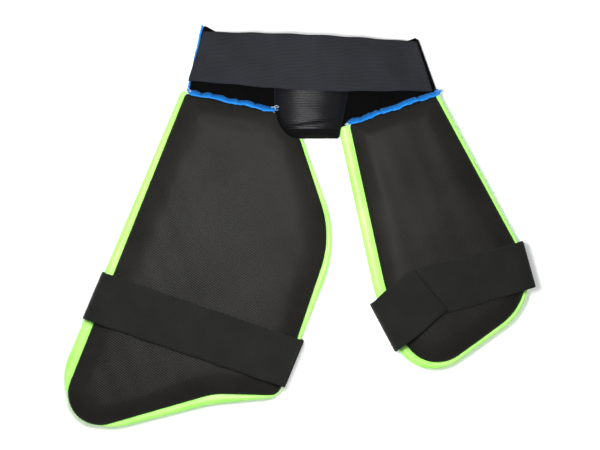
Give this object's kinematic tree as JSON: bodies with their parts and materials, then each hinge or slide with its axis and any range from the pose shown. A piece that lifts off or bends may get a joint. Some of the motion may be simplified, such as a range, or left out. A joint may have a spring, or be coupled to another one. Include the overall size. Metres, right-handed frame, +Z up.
{
  "type": "cricket thigh guard",
  "caption": "Cricket dual thigh guard lying flat: padded waist panel with guard pouch and elastic belt, a large outer and a small inner thigh pad on folding seams, each with an elastic strap.",
  "frame": {"origin": "centre of the footprint on the surface it lies on, outer face down", "axes": "+Z up, out of the body side; +X from the outer thigh pad towards the inner thigh pad; +Y towards the waist"},
  "size_m": [0.5661, 0.4844, 0.0352],
  "materials": {
    "lime_cover": "matte",
    "blue_ribbon": "satin",
    "black_elastic": "matte",
    "mesh_lining": "matte",
    "foam": "matte",
    "shield_plastic": "satin",
    "hook_tape": "matte",
    "loop_tape": "matte",
    "ribbed_knit": "matte",
    "black_fabric": "matte",
    "webbing": "matte"
  },
  "bodies": {
    "waist": {"inner_seam_ribbon": "blue_ribbon", "outer_seam_ribbon": "blue_ribbon", "pouch_back": "ribbed_knit", "pouch_binding": "black_fabric", "pouch_front": "ribbed_knit", "waist_loop_patch": "loop_tape", "waist_panel_foam": "foam", "waist_panel_front": "black_fabric", "waist_panel_lining": "black_fabric", "waist_side_binding": "blue_ribbon", "waist_strap_anchor": "webbing"},
    "outer_pad": {"outer_cover": "lime_cover", "outer_cushion_foam": "foam", "outer_cushion_lining": "mesh_lining", "outer_foam_core": "foam", "outer_front_block_1": "lime_cover", "outer_front_block_2": "lime_cover", "outer_front_block_3": "lime_cover", "outer_front_block_4": "lime_cover", "outer_front_block_5": "lime_cover", "outer_hinge_web": "webbing", "outer_shield_plate": "shield_plastic", "outer_strap_anchor": "webbing", "outer_strap_keeper": "webbing", "outer_strap_loop": "loop_tape"},
    "inner_pad": {"inner_cover": "lime_cover", "inner_cushion_foam": "foam", "inner_cushion_lining": "mesh_lining", "inner_foam_core": "foam", "inner_front_block_1": "lime_cover", "inner_front_block_2": "lime_cover", "inner_front_block_3": "lime_cover", "inner_front_block_4": "lime_cover", "inner_hinge_web": "webbing", "inner_hook_anchor": "webbing", "inner_loop_anchor": "webbing", "inner_shield_plate": "shield_plastic"},
    "waist_strap": {"waist_elastic": "black_elastic", "waist_hook_tab": "hook_tape"},
    "outer_strap": {"outer_strap_elastic": "black_elastic", "outer_strap_hook": "hook_tape"},
    "inner_hook_strap": {"inner_hook_elastic": "black_elastic", "inner_hook_patch": "hook_tape"},
    "inner_loop_strap": {"inner_loop_elastic": "black_elastic", "inner_loop_patch": "loop_tape"}
  },
  "joints": [
    {"name": "outer_pad_swing", "type": "hinge", "parent": "waist", "child": "outer_pad", "pos_m": [-0.082, 0.14905, 0], "axis": [0.9785, -0.2061, 0], "range_deg": [0, 100]},
    {"name": "inner_pad_swing", "type": "hinge", "parent": "waist", "child": "inner_pad", "pos_m": [0.10575, 0.1376, 0], "axis": [0.9448, 0.3277, 0], "range_deg": [0, 60]},
    {"name": "waist_strap_open", "type": "hinge", "parent": "waist", "child": "waist_strap", "pos_m": [-0.12513, 0.2037, 0.00965], "axis": [-0.2985, -0.9544, 0], "range_deg": [0, 160]},
    {"name": "outer_strap_open", "type": "hinge", "parent": "outer_pad", "child": "outer_strap", "pos_m": [-0.24965, -0.08283, 0.03325], "axis": [-0.3909, -0.9204, 0], "range_deg": [0, 170]},
    {"name": "inner_hook_open", "type": "hinge", "parent": "inner_pad", "child": "inner_hook_strap", "pos_m": [0.09905, -0.12264, 0.03355], "axis": [0.4712, -0.882, 0], "range_deg": [0, 160]},
    {"name": "inner_loop_open", "type": "hinge", "parent": "inner_pad", "child": "inner_loop_strap", "pos_m": [0.27535, -0.04537, 0.03015], "axis": [-0.2579, 0.9662, 0], "range_deg": [0, 64]}
  ],
  "couplings": [
    {"joint": "inner_loop_open", "follows": "inner_hook_open", "ratio": 0.4}
  ]
}
